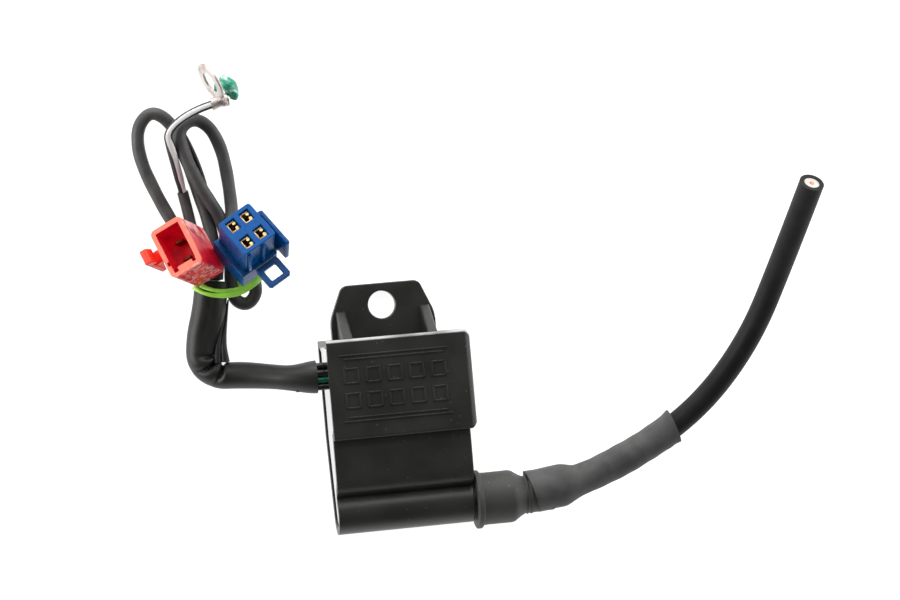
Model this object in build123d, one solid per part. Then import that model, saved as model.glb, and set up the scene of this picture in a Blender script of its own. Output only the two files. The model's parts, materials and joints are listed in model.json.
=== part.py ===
from build123d import *
import os
from math import radians, tan

# Small-engine ignition coil with built-in igniter. Millimetres.
# X runs along the case, Y towards the mounting tab, Z up off the back face.
# The origin is the centre of the mounting hole, on the tab's back face.

# ---- case ----
wall = 1.8
case_left = -19.3            # open end, filled with resin
box_width = 41.2
box_top = -9.0               # Y of the box's face under the tab
box_height = 28.3
box_depth = 22.0
box_end_round = 2.6
lower_width = 39.3
lower_depth = 19.0
lower_flat_end = -50.2       # Y where the lower part's front turns down to the tower
valley_y = -53.6             # the crease between the coil chamber and the tower
valley_z = 14.9
tower_y = -58.2
tower_z = 10.5
tower_r = 6.2
nozzle_r = 5.2
nozzle_length = 7.0
resin_recess = 0.4

# ---- mounting tab ----
tab_thickness = 3.0
tab_half_width = 15.2
tab_shoulder = -3.3          # Y where the straight sides end
tab_top_half = 11.2
tab_top = 6.3
tab_corner = 2.4
hole_r = 4.0
gusset_x = 12.2
gusset_thickness = 3.0
gusset_reach = 8.0
gusset_height = 15.0

# ---- raised panel on the front of the box ----
panel_height = 0.4
panel_bar = 1.0
panel_width = 31.0
panel_rows = (-13.6, -32.2)
panel_block_rows = (-19.4, -26.4)
panel_block_count = 5
panel_block_size = (4.4, 4.6)

# ---- igniter electronics ----
board_size = (32.0, 21.0, 1.2)
board_z = 5.0
capacitor_size = (18.0, 8.5, 11.0)
thyristor_size = (10.0, 8.0, 4.4)
diode_r = 1.35
diode_length = 5.2
resistor_r = 1.2
resistor_length = 6.4
disc_capacitor_r = 2.6
disc_capacitor_length = 4.0
capacitor_corner = 1.0
part_gap = 0.8

# ---- transformer ----
coil_y = -44.0
coil_z = 10.4
coil_length = 31.0
core_side = 3.6
core_length = 34.0
primary_bobbin_r = 3.2
primary_winding_r = 4.4
secondary_bobbin_r = 5.0
secondary_winding_r = 5.9
secondary_flange_r = 6.6
flange_thickness = 1.0
secondary_sections = 5

# ---- high-tension lead ----
lead_d = 7.0
lead_insulation_d = 4.4
lead_conductor_d = 1.3
lead_inner_end = 18.0
contact_length = 9.0
contact_r = 2.6
boot_gap = 0.6
boot_flange_r = 8.4
boot_flange_thickness = 1.7
boot_r = 7.55
boot_length = 11.2
boot_taper = 2.6
boot_neck_r = 5.2
boot_neck_step = 0.35
boot_neck_length = 12.6
boot_flange_chamfer = 0.3
boot_grip = 0.4               # how much smaller than the lead the turned part's bore is drawn
shrink_wall = 1.05
shrink_start_after_taper = 3.0
shrink_cut_normal = (0.90, 0.43, 0.0)
shrink_end = (80.5, -43.0, 12.0)

# ---- harness ----
main_sleeve_d = 7.8
branch_d = 3.7
ground_sleeve_d = 3.2
ground_wire_d = 2.3
lead_wire_d = 1.9
lead_wire_rows = 4
wire_exit_y = -18.9
wire_exit_z = 13.2
wire_exit_gap = 2.6
wire_inner_length = 3.0
wire_gap = 0.04               # between neighbouring wires, so that they don't share a face
wire_column_share = 0.46      # how far each column of wires stands off the middle, in wire diameters

# ---- connectors ----
red_size = (15.0, 10.0, 18.0)
red_cavity = (12.4, 7.4, 9.0)
red_blade = (0.8, 2.8, 8.0)
red_blade_pitch = 5.4
red_corner = 1.2
red_key_width = 2.2           # the two keyways beside the cavity
red_key_shift = 0.9
red_crimp_pocket = (2.6, 3.4)
red_crimp_r = 1.2
blade_root = 1.0              # how far a blade reaches into the floor
crimp_start = 1.0
blue_size = (12.1, 10.9, 18.0)
blue_cavity = (3.5, 3.0)
blue_pitch = (6.2, 4.7)
blue_guard_gap = 1.4
blue_guard_thickness = 1.5
blue_guard_length = 13.4
blue_guard_shift = 2.0
blue_flange = 1.0
blue_corner = 0.8
blue_rear_share = 0.4         # of the housing's length
blue_guard_share = 0.55
blue_guard_start_share = 0.2
blue_guard_inset = 1.0
terminal_wall = 0.35
terminal_length = 8.0
terminal_slot = 1.3
terminal_clearance = 0.3      # a receptacle in its cavity, side to side
terminal_setback = 0.8        # from the housing's face
terminal_floor = 1.0
blue_crimp_r = 1.1
lead_twist = 1.02             # spacing of the wires at a sleeve's mouth, in wire diameters
lead_straight = 1.6
lead_approach = -3.0
lead_depth = 1.0
connector_lead_d = 1.6
hinge_gap = 0.2
latch_width = 4.4
latch_thickness = 1.7
latch_length = 13.0
latch_stand_off = 3.4
latch_web = 1.6
latch_web_at = 0.45
latch_web_share = 0.7
latch_overlap = 0.2           # of the web into the plate
latch_hook = (1.2, 2.2)
latch_side = -2.2
loop_bar = 1.5
loop_window = (3.9, 4.2)
loop_thickness = 1.6
loop_side = 1.0
loop_height = 5.0

# ---- ring terminal and tie ----
ring_outer_r = 6.0
ring_hole_r = 3.2
ring_thickness = 0.8
barrel_r = 1.9
barrel_length = 5.0
barrel_clearance = 0.1
barrel_end = 1.4              # solid, where the crimp is pressed shut
neck_length = 2.4
stub_d = 3.4
tie_d = 1.5
tie_pitch = 1.6

box_bottom = box_top - box_height
box_right = case_left + box_width
lower_right = case_left + lower_width
tower_plane = Plane((0, tower_y, tower_z), x_dir=(0, 1, 0), z_dir=(1, 0, 0))
coil_plane = Plane((0, coil_y, coil_z), x_dir=(0, 1, 0), z_dir=(1, 0, 0))


def side_plane(x):
    return Plane((x, 0, 0), x_dir=(0, 1, 0), z_dir=(1, 0, 0))


def rod(plane, r, start, end):
    """A round bar along the plane's normal."""
    return plane * Pos(0, 0, start) * Cylinder(r, end - start, align=(Align.CENTER, Align.CENTER, Align.MIN))


def tube(plane, r_out, r_in, start, end):
    return rod(plane, r_out, start, end) - rod(plane, r_in, start, end)


def block(low, high):
    size = [b - a for a, b in zip(low, high)]
    return Pos(*low) * Box(*size, align=(Align.MIN, Align.MIN, Align.MIN))


# Cord routes, points chosen by hand.
main_route = [(-21.9, -18.9, 13.2), (-27.6, -18.9, 13.2), (-35.0, -17.6, 9.2), (-43.0, -16.5, 5.6),
              (-49.6, -16.3, 4.5), (-53.9, -12.0, 4.4), (-52.6, -5.0, 4.9), (-49.7, 3.0, 5.8),
              (-48.6, 10.9, 5.9)]
red_route = [(-47.6, 11.2, 3.6), (-47.0, 16.2, 2.6), (-46.7, 22.6, 2.0), (-48.3, 30.5, 1.9),
             (-50.4, 38.7, 1.9), (-52.2, 46.2, 2.0), (-54.1, 52.9, 2.6), (-57.2, 58.4, 3.4),
             (-61.6, 60.6, 3.3), (-65.4, 56.6, 2.6), (-65.9, 50.6, 2.0), (-64.8, 44.6, 1.9),
             (-62.3, 38.2, 1.9), (-59.6, 32.0, 2.1), (-57.2, 27.0, 2.2), (-55.6, 22.4, 3.0)]
blue_route = [(-47.2, 11.2, 7.8), (-46.6, 16.0, 7.4), (-43.4, 22.0, 6.4), (-41.0, 28.6, 4.0),
              (-40.9, 35.0, 2.8), (-41.2, 41.4, 2.4), (-42.2, 48.2, 2.7), (-45.0, 54.8, 4.2),
              (-49.4, 57.6, 6.0), (-53.8, 55.0, 7.0), (-54.3, 50.2, 7.2), (-52.4, 44.4, 7.1),
              (-49.8, 38.4, 7.0), (-47.0, 33.4, 6.2), (-44.3, 28.8, 3.6), (-42.8, 22.4, 1.9),
              (-42.4, 16.0, 3.0), (-43.0, 10.0, 4.1), (-42.6, 5.0, 3.9), (-38.9, 3.0, 3.6),
              (-36.0, 6.0, 4.6), (-36.3, 10.4, 5.2), (-37.3, 14.4, 5.8)]
ground_route = [(-50.9, 11.6, 5.6), (-51.4, 17.0, 3.6), (-52.2, 23.6, 1.8), (-53.2, 30.6, 1.9),
                (-54.3, 36.7, 2.6)]
ground_wire_route = [(-54.3, 36.7, 2.6), (-55.3, 41.8, 4.8), (-57.0, 49.4, 9.2), (-57.9, 54.0, 11.3),
                     (-50.2, 59.1, 12.2), (-44.8, 60.4, 12.2)]
lead_route = [(lead_inner_end, tower_y, tower_z), (44.0, tower_y, tower_z), (67.0, -50.6, 10.5),
              (88.4, -38.4, 12.0), (103.4, -19.8, 19.6), (111.8, 2.2, 31.5), (116.4, 23.0, 51.5)]


def corner_radii(points):
    """The largest arc that each corner's two runs allow."""
    radii = []
    for a, b, c in zip(points, points[1:], points[2:]):
        into = Vector(*b) - Vector(*a)
        out = Vector(*c) - Vector(*b)
        turn = radians(into.get_angle(out))
        radii.append(0.45 * min(into.length, out.length) / tan(turn / 2))
    return radii


def cord_path(name, points):
    radii = corner_radii(points)
    print(name, "radii", [round(r, 1) for r in radii])
    return FilletPolyline(*points, radius=radii)


def cord(path, diameter, bore=0):
    section = Circle(diameter / 2)
    if bore:
        section -= Circle(bore / 2)
    return sweep(Plane(origin=path @ 0, z_dir=path % 0) * section, path=path)


def bent_wire(points, diameter):
    path = FilletPolyline(*points, radius=corner_radii(points))
    return cord(path, diameter)


# ---------------------------------------------------------------- case and its contents
def lower_outline(inset):
    """Side outline of the coil chamber and tower, YZ, drawn inside the skin by inset."""
    front = lower_depth - inset
    pts = [
        (box_bottom + wall + 1.0, inset),
        (box_bottom + wall + 1.0, front),
        (lower_flat_end, front),
        (valley_y, valley_z - inset),
        (tower_y, tower_z + tower_r - inset),
        (tower_y, tower_z - tower_r + inset),
        (box_bottom, inset),
    ]
    return make_face(Polyline(*pts, close=True))


def lower_solid(inset, x0, x1):
    body = extrude(side_plane(x0) * lower_outline(inset), amount=x1 - x0)
    return body + rod(tower_plane, tower_r - inset, x0, x1)


def make_cavity():
    box = block(
        (case_left, box_bottom + wall, wall),
        (box_right - wall, box_top - wall, box_depth - wall),
    )
    return box + lower_solid(wall, case_left, lower_right - wall)


def make_tab():
    outline = Polyline(
        (-tab_half_width, box_top - wall), (-tab_half_width, tab_shoulder), (-tab_top_half, tab_top),
        (tab_top_half, tab_top), (tab_half_width, tab_shoulder), (tab_half_width, box_top - wall),
        close=True,
    )
    tab = extrude(make_face(outline), amount=tab_thickness)
    upper = [e for e in tab.edges().filter_by(Axis.Z) if e.center().Y > tab_shoulder - 0.1]
    tab = fillet(upper, tab_corner)
    tab -= rod(Plane.XY, hole_r, 0, tab_thickness)
    for side in (-1, 1):
        rib = make_face(Polyline(
            (box_top - wall / 2, 0), (box_top - wall / 2, gusset_height),
            (box_top, gusset_height), (box_top + gusset_reach, tab_thickness),
            (box_top + gusset_reach, 0), close=True))
        x0 = side * gusset_x - gusset_thickness / 2
        tab += extrude(side_plane(x0) * rib, amount=gusset_thickness)
    return tab


def make_panel():
    """Plain raised bars and blocks where a maker would mould a name."""
    mid_x = case_left + box_width / 2 - 0.6
    z0 = box_depth
    panel = None
    for y in panel_rows:
        bar = block((mid_x - panel_width / 2, y - panel_bar / 2, z0),
                    (mid_x + panel_width / 2, y + panel_bar / 2, z0 + panel_height))
        panel = bar if panel is None else panel + bar
    pitch = panel_width / panel_block_count
    for y in panel_block_rows:
        for i in range(panel_block_count):
            x = mid_x + (i - (panel_block_count - 1) / 2) * pitch
            panel += block(
                (x - panel_block_size[0] / 2, y - panel_block_size[1] / 2, z0),
                (x + panel_block_size[0] / 2, y + panel_block_size[1] / 2, z0 + panel_height))
    return panel


def make_case(cavity):
    box = block((case_left, box_bottom, 0), (box_right, box_top, box_depth))
    end_edges = box.edges().group_by(Axis.X)[-1]
    box = fillet(end_edges, box_end_round)
    case = box + lower_solid(0, case_left, lower_right)
    case += rod(tower_plane, nozzle_r, lower_right - wall, lower_right + nozzle_length)
    case -= cavity
    case += make_tab() - cavity
    case += make_panel()
    lead_bore = rod(tower_plane, lead_d / 2, lower_right - wall - 1, lower_right + nozzle_length + 1)
    return case - lead_bore


def board_parts():
    """Igniter circuit: board, and the parts that stand on its front."""
    centre_x = case_left + box_width / 2
    centre_y = box_top - box_height / 2
    board_low = (centre_x - board_size[0] / 2, centre_y - board_size[1] / 2, board_z)
    board_high = (centre_x + board_size[0] / 2, centre_y + board_size[1] / 2, board_z + board_size[2])
    top = board_high[2]
    right = board_high[0] - part_gap
    upper = board_high[1] - part_gap
    lower = board_low[1] + part_gap
    parts = {"circuit_board": block(board_low, board_high)}
    parts["storage_capacitor"] = fillet(block(
        (right - capacitor_size[0], upper - capacitor_size[1], top),
        (right, upper, top + capacitor_size[2])).edges().filter_by(Axis.Z), capacitor_corner)
    parts["thyristor"] = block(
        (right - thyristor_size[0], lower, top),
        (right, lower + thyristor_size[1], top + thyristor_size[2]))
    diodes = []
    for i in range(3):
        y = lower + diode_r + i * (2 * diode_r + part_gap)
        x0 = right - thyristor_size[0] - part_gap - diode_length
        diodes.append(Plane((x0, y, top + diode_r), z_dir=(1, 0, 0)) * Cylinder(
            diode_r, diode_length, align=(Align.CENTER, Align.CENTER, Align.MIN)))
    parts["rectifier_diodes"] = diodes
    resistors = []
    for i in range(3):
        y = lower + resistor_r + i * (2 * resistor_r + part_gap)
        x0 = right - thyristor_size[0] - 2 * part_gap - diode_length - resistor_length
        resistors.append(Plane((x0, y, top + resistor_r), z_dir=(1, 0, 0)) * Cylinder(
            resistor_r, resistor_length, align=(Align.CENTER, Align.CENTER, Align.MIN)))
    parts["resistors"] = resistors
    disc_x = right - capacitor_size[0] - part_gap - disc_capacitor_r
    parts["trigger_capacitor"] = Pos(disc_x, upper - disc_capacitor_r, top) * Cylinder(
        disc_capacitor_r, disc_capacitor_length, align=(Align.CENTER, Align.CENTER, Align.MIN))
    return parts


def transformer_parts():
    """Open-core transformer, its axis along X."""
    centre = case_left + lower_width / 2 - wall / 2
    start = centre - coil_length / 2
    end = centre + coil_length / 2
    core = coil_plane * Pos(0, 0, centre - core_length / 2) * Box(
        core_side, core_side, core_length, align=(Align.CENTER, Align.CENTER, Align.MIN))
    square_bore = coil_plane * Pos(0, 0, start) * Box(
        core_side, core_side, coil_length, align=(Align.CENTER, Align.CENTER, Align.MIN))
    bobbin = rod(coil_plane, primary_bobbin_r, start, end) - square_bore
    for x0 in (start, end - flange_thickness):
        bobbin += tube(coil_plane, primary_winding_r, primary_bobbin_r, x0, x0 + flange_thickness)
    winding = tube(coil_plane, primary_winding_r, primary_bobbin_r,
                   start + flange_thickness, end - flange_thickness)
    outer = tube(coil_plane, secondary_bobbin_r, primary_winding_r, start, end)
    pitch = (coil_length - flange_thickness) / secondary_sections
    for i in range(secondary_sections + 1):
        x0 = start + i * pitch
        outer += tube(coil_plane, secondary_flange_r, secondary_bobbin_r, x0, x0 + flange_thickness)
    sections = [
        tube(coil_plane, secondary_winding_r, secondary_bobbin_r,
             start + i * pitch + flange_thickness, start + (i + 1) * pitch)
        for i in range(secondary_sections)
    ]
    return {
        "iron_core": core,
        "primary_bobbin": bobbin,
        "primary_winding": winding,
        "secondary_bobbin": outer,
        "secondary_winding": sections,
    }


def lead_wires():
    """Short bare stretch of the loom between the resin and its sleeve, and the ends in the resin."""
    start = case_left + resin_recess + wire_inner_length
    end = case_left - wire_exit_gap
    wires = []
    for column, count in ((1, lead_wire_rows), (-1, lead_wire_rows - 1)):
        for i in range(count):
            y = wire_exit_y + (i - (count - 1) / 2) * lead_wire_d
            z = wire_exit_z + column * lead_wire_d * wire_column_share
            plane = Plane((0, y, z), x_dir=(0, 1, 0), z_dir=(1, 0, 0))
            wires.append(rod(plane, (lead_wire_d - wire_gap) / 2, end, start))
    green = wires.pop(1)
    return green, wires


# ---------------------------------------------------------------- high-tension side
def between(shape, x0, x1):
    """The part of a shape between two planes across the boot's axis."""
    return shape & block((x0, -200, -200), (x1, 200, 200))


boot_start = lower_right + boot_gap
taper_start = boot_start + boot_length
taper_end = taper_start + boot_taper
neck_end = taper_end + boot_neck_length
shrink_start = taper_end + shrink_start_after_taper


def make_boot(path):
    """Flanged rubber boot: turned over the nozzle, its neck following the lead."""
    flange_end = boot_start + boot_flange_thickness
    inside = lower_right + nozzle_length
    bore = lead_d / 2 - boot_grip
    outline = Polyline(
        (nozzle_r, boot_start), (boot_flange_r, boot_start), (boot_flange_r, flange_end),
        (boot_r, flange_end + boot_flange_chamfer), (boot_r, taper_start),
        (boot_neck_r + boot_neck_step, taper_end), (bore, taper_end), (bore, inside),
        (nozzle_r, inside), close=True,
    )
    turned = revolve(tower_plane * (Plane.XZ * make_face(outline)),
                     axis=Axis((0, tower_y, tower_z), (1, 0, 0)))
    neck = between(cord(path, 2 * boot_neck_r), taper_end - boot_taper / 2, neck_end)
    return turned + neck - cord(path, lead_d)


def make_shrink(path):
    """Shrunk sleeve: wide over the boot's neck, then tight on the lead."""
    body = between(cord(path, lead_d + 2 * shrink_wall), neck_end - 0.5, 200)
    body -= Plane(shrink_end, z_dir=shrink_cut_normal) * Pos(0, 0, 100) * Box(300, 300, 200)
    body += between(cord(path, 2 * (boot_neck_r + shrink_wall)), shrink_start, neck_end + shrink_wall)
    body -= between(cord(path, 2 * boot_neck_r), shrink_start - 1, neck_end)
    return body - cord(path, lead_d)


# ---------------------------------------------------------------- connectors
red_plane = Plane((-51.9, 17.9, 10.8), x_dir=(0.338, -0.893, 0.297), z_dir=(-0.397, 0.151, 0.905))
blue_plane = Plane((-38.6, 17.0, 12.6), x_dir=(0.533, -0.773, 0.344), z_dir=(-0.034, 0.387, 0.922))


def local_block(size, at):
    """A block in a connector's own frame: centred in X and Y on at, its base at at's Z."""
    return Pos(*at) * Box(*size, align=(Align.CENTER, Align.CENTER, Align.MIN))


def red_parts():
    width, height, length = red_size
    cavity_floor = length - red_cavity[2]
    housing = local_block(red_size, (0, 0, 0))
    housing = fillet(housing.edges().filter_by(Axis.Z), red_corner)
    housing -= local_block(red_cavity, (0, 0, cavity_floor))
    key = (red_key_width, height / 2, red_cavity[2])
    for x in (-width / 4, width / 4):
        key_at = (x + width / 12, red_cavity[1] / 2 - height / 4 + red_key_shift, cavity_floor)
        housing -= local_block(key, key_at)
    blades = []
    for side in (-1, 1):
        x = side * red_blade_pitch / 2
        housing -= local_block((*red_crimp_pocket, cavity_floor), (x, 0, 0))
        blade = local_block(red_blade, (x, 0, cavity_floor - blade_root))
        crimp = Pos(x, 0, crimp_start) * Cylinder(
            red_crimp_r, cavity_floor - blade_root - crimp_start,
            align=(Align.CENTER, Align.CENTER, Align.MIN))
        blades.append(blade + crimp)
    web_y = -height / 2 - hinge_gap
    plate_y = -height / 2 - latch_stand_off
    plate_base = length - latch_length
    latch = local_block((latch_width, latch_thickness, latch_length),
                        (latch_side, plate_y - latch_thickness / 2, plate_base))
    web_length = web_y - plate_y
    web_z = plate_base + latch_length * latch_web_at
    latch += local_block((latch_width * latch_web_share, web_length + 2 * latch_overlap, latch_web),
                         (latch_side, web_y - web_length / 2 - latch_overlap, web_z))
    latch += local_block((latch_width, latch_hook[0], latch_hook[1]),
                         (latch_side, plate_y + latch_hook[0] / 2, length - latch_hook[1]))
    return housing, blades, latch


def blue_parts():
    width, height, length = blue_size
    housing = local_block(blue_size, (0, 0, 0))
    housing = fillet(housing.edges().filter_by(Axis.Z), blue_corner)
    rear = (width + blue_flange, height + blue_flange, length * blue_rear_share)
    housing += local_block(rear, (blue_flange / 2, -blue_flange / 2, 0))
    guard_y = height / 2 + blue_guard_gap + blue_guard_thickness / 2
    guard_x = (blue_guard_length - width) / 2 + blue_guard_shift
    guard_height = length * blue_guard_share
    guard_z = length * blue_guard_start_share
    housing += local_block((blue_guard_length, blue_guard_thickness, guard_height),
                           (guard_x, guard_y, guard_z))
    bridge_x = -width / 2 + blue_guard_inset + blue_guard_shift
    housing += local_block((blue_guard_thickness, blue_guard_gap + blue_guard_inset, guard_height),
                           (bridge_x, height / 2 + blue_guard_gap / 2, guard_z))
    terminal_size = (blue_cavity[0] - terminal_clearance, blue_cavity[1] - terminal_clearance)
    terminal_base = length - terminal_length - terminal_setback
    terminals = []
    for sx in (-1, 1):
        for sy in (-1, 1):
            x = sx * blue_pitch[0] / 2
            y = sy * blue_pitch[1] / 2
            housing -= local_block((blue_cavity[0], blue_cavity[1], length), (x, y, 0))
            body = local_block((*terminal_size, terminal_length), (x, y, terminal_base))
            body -= local_block((terminal_size[0] - 2 * terminal_wall, terminal_slot, terminal_length),
                                (x, y, terminal_base))
            plug_base = terminal_base - terminal_floor
            plug = local_block((*terminal_size, terminal_floor), (x, y, plug_base))
            crimp = Pos(x, y, crimp_start) * Cylinder(
                blue_crimp_r, plug_base - crimp_start + terminal_floor / 2,
                align=(Align.CENTER, Align.CENTER, Align.MIN))
            terminals.append(body + plug + crimp)
    outer = (loop_window[0] + 2 * loop_bar, loop_window[1] + 2 * loop_bar, loop_thickness)
    root_x = width / 2 + blue_flange + hinge_gap
    loop_x = root_x + outer[0] / 2
    loop = local_block(outer, (loop_x, loop_side, loop_height))
    loop -= local_block((loop_window[0], loop_window[1], loop_thickness), (loop_x, loop_side, loop_height))
    return housing, terminals, loop


def connector_leads(plane, places, tube_end, tube_direction):
    """Wires from a branch sleeve's mouth up into the back of its connector."""
    leads = []
    toward = Vector(*tube_direction).normalized()
    across = toward.cross(Vector(0, 0, 1)).normalized()
    up = across.cross(toward)
    count = len(places)
    for i, (x, y) in enumerate(places):
        spread_x = (i % 2 - 0.5) * connector_lead_d * lead_twist
        spread_y = (i // 2 - (count // 2 - 1) / 2) * connector_lead_d * lead_twist
        start = Vector(*tube_end) + across * spread_x + up * spread_y
        back = plane.from_local_coords(Vector(x, y, lead_depth))
        before = plane.from_local_coords(Vector(x, y, lead_approach))
        leave = start + toward * lead_straight
        leads.append(bent_wire([tuple(start), tuple(leave), tuple(before), tuple(back)], connector_lead_d))
    return leads


# ---------------------------------------------------------------- ground terminal and tie
ring_plane = Plane((-44.3, 66.7, 13.0), x_dir=(0.474, -0.876, 0.071), z_dir=(-0.866, -0.451, 0.202))
barrel_plane = Plane(ground_wire_route[-1], x_dir=(0, 0, 1), z_dir=(0.97, 0.24, 0.0))
tail_route = [(-38.4, 61.3, 12.2), (-37.8, 62.9, 12.4), (-39.4, 65.3, 12.8), (-41.3, 68.2, 13.0)]
tie_plane = Plane((-43.6, 8.4, 6.0), x_dir=(1, 0.05, 0), z_dir=(0.05, -1, -0.28))
tie_size = (21.0, 10.7)


def ring_terminal():
    """Flat ring with its neck bent round into a crimped barrel."""
    ring = Cylinder(ring_outer_r, ring_thickness)
    ring += Pos(ring_outer_r - neck_length / 4, 0, 0) * Box(neck_length, 2 * barrel_r, ring_thickness)
    ring -= Cylinder(ring_hole_r, ring_thickness)
    barrel = tube(barrel_plane, barrel_r, ground_wire_d / 2 + barrel_clearance, 0, barrel_length)
    barrel += rod(barrel_plane, barrel_r, barrel_length - barrel_end, barrel_length)
    return ring_plane * ring + barrel


def make_tie():
    turns = []
    for side in (-1, 1):
        plane = tie_plane.offset(side * tie_pitch / 2)
        path = (plane * RectangleRounded(*tie_size, tie_size[1] / 2 - 0.2)).wire()
        turns.append(sweep(Plane(origin=path @ 0, z_dir=path % 0) * Circle(tie_d / 2), path=path))
    return turns


# ---------------------------------------------------------------- build every node
def build():
    nodes = {}
    lead_path = cord_path("ht_lead", lead_route)
    cavity = make_cavity()
    nodes["case"] = make_case(cavity)

    inner = {}
    inner.update(board_parts())
    inner.update(transformer_parts())
    green, wires = lead_wires()
    inner["green_wire"] = green
    inner["lead_wires"] = wires
    inner["ht_contact"] = rod(tower_plane, contact_r, lead_inner_end - contact_length, lead_inner_end)
    nodes.update(inner)

    resin = cavity - block((case_left - 1, -200, -200), (case_left + resin_recess, 200, 200))
    for shape in inner.values():
        for solid in (shape if isinstance(shape, list) else [shape]):
            resin -= solid
    nodes["potting_resin"] = resin - cord(lead_path, lead_d)

    nodes["ht_jacket"] = cord(lead_path, lead_d, lead_insulation_d)
    nodes["ht_insulation"] = cord(lead_path, lead_insulation_d, lead_conductor_d)
    nodes["ht_conductor"] = cord(lead_path, lead_conductor_d)
    nodes["ht_boot"] = make_boot(lead_path)
    nodes["ht_shrink_sleeve"] = make_shrink(lead_path)

    nodes["main_sleeve"] = cord(cord_path("main_sleeve", main_route), main_sleeve_d)
    nodes["red_branch_sleeve"] = cord(cord_path("red_branch", red_route), branch_d)
    nodes["blue_branch_sleeve"] = cord(cord_path("blue_branch", blue_route), branch_d)
    nodes["ground_sleeve"] = cord(cord_path("ground_sleeve", ground_route), ground_sleeve_d)
    nodes["ground_wire"] = cord(cord_path("ground_wire", ground_wire_route), ground_wire_d)
    nodes["ring_terminal"] = ring_terminal()
    nodes["ground_tail"] = bent_wire(tail_route, stub_d)
    nodes["harness_tie"] = make_tie()

    housing, blades, latch = red_parts()
    nodes["red_housing"] = red_plane * housing
    nodes["red_blades"] = [red_plane * b for b in blades]
    nodes["red_latch"] = red_plane * latch
    red_places = [(side * red_blade_pitch / 2, 0) for side in (-1, 1)]
    nodes["red_leads"] = connector_leads(
        red_plane, red_places, red_route[-1], Vector(*red_route[-1]) - Vector(*red_route[-2]))

    housing, terminals, loop = blue_parts()
    nodes["blue_housing"] = blue_plane * housing
    nodes["blue_receptacles"] = [blue_plane * t for t in terminals]
    nodes["blue_latch"] = blue_plane * loop
    blue_places = [(sx * blue_pitch[0] / 2, sy * blue_pitch[1] / 2) for sy in (-1, 1) for sx in (-1, 1)]
    nodes["blue_leads"] = connector_leads(
        blue_plane, blue_places, blue_route[-1], Vector(*blue_route[-1]) - Vector(*blue_route[-2]))
    return nodes


def export(name, shape):
    if isinstance(shape, list):
        shape = Compound(children=shape)
    export_step(shape, f"parts/{name}.step")


os.makedirs("parts", exist_ok=True)
for node_name, node_shape in build().items():
    export(node_name, node_shape)
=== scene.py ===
# Ignition coil with built-in igniter: finishes, loom, connectors and high-tension lead.
# Metres. X runs along the case, Y towards the mounting tab, Z up off the tab's back.
# Hard parts are drawn in millimetres in their own frames and brought to metres when finished.
import bmesh
import bpy
import json
from math import atan2, cos, pi, radians, sin
from mathutils import Matrix, Vector

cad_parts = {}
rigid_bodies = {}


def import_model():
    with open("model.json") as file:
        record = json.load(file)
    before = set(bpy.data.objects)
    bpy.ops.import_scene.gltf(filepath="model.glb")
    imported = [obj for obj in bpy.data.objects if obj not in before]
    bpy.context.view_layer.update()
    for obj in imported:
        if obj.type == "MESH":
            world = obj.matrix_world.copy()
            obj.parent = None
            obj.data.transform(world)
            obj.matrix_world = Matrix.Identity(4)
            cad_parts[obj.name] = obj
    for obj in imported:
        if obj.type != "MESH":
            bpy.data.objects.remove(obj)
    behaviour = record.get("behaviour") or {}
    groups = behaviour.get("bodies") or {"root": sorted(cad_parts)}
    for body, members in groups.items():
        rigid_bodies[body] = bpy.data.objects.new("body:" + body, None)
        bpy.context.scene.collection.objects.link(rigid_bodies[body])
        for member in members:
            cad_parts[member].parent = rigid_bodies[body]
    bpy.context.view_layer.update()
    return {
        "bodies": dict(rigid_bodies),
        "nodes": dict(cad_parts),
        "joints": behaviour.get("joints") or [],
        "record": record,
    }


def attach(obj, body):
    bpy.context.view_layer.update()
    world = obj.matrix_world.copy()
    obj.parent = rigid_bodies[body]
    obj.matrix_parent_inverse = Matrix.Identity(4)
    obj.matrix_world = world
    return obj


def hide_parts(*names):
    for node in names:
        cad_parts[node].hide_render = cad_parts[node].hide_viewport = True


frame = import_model()
nodes = frame["nodes"]

MM = 0.001

# ---------------------------------------------------------------- routes, as the part's
main_route = [(-0.0219, -0.0189, 0.0132), (-0.0276, -0.0189, 0.0132), (-0.0350, -0.0176, 0.0092),
              (-0.0430, -0.0165, 0.0056), (-0.0496, -0.0163, 0.0045), (-0.0539, -0.0120, 0.0044),
              (-0.0526, -0.0050, 0.0049), (-0.0497, 0.0030, 0.0058), (-0.0486, 0.0109, 0.0059)]
red_route = [(-0.0476, 0.0112, 0.0036), (-0.0470, 0.0162, 0.0026), (-0.0467, 0.0226, 0.0020),
             (-0.0483, 0.0305, 0.0019), (-0.0504, 0.0387, 0.0019), (-0.0522, 0.0462, 0.0020),
             (-0.0541, 0.0529, 0.0026), (-0.0572, 0.0584, 0.0034), (-0.0616, 0.0606, 0.0033),
             (-0.0654, 0.0566, 0.0026), (-0.0659, 0.0506, 0.0020), (-0.0648, 0.0446, 0.0019),
             (-0.0623, 0.0382, 0.0019), (-0.0596, 0.0320, 0.0021), (-0.0572, 0.0270, 0.0022),
             (-0.0556, 0.0224, 0.0030)]
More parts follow.
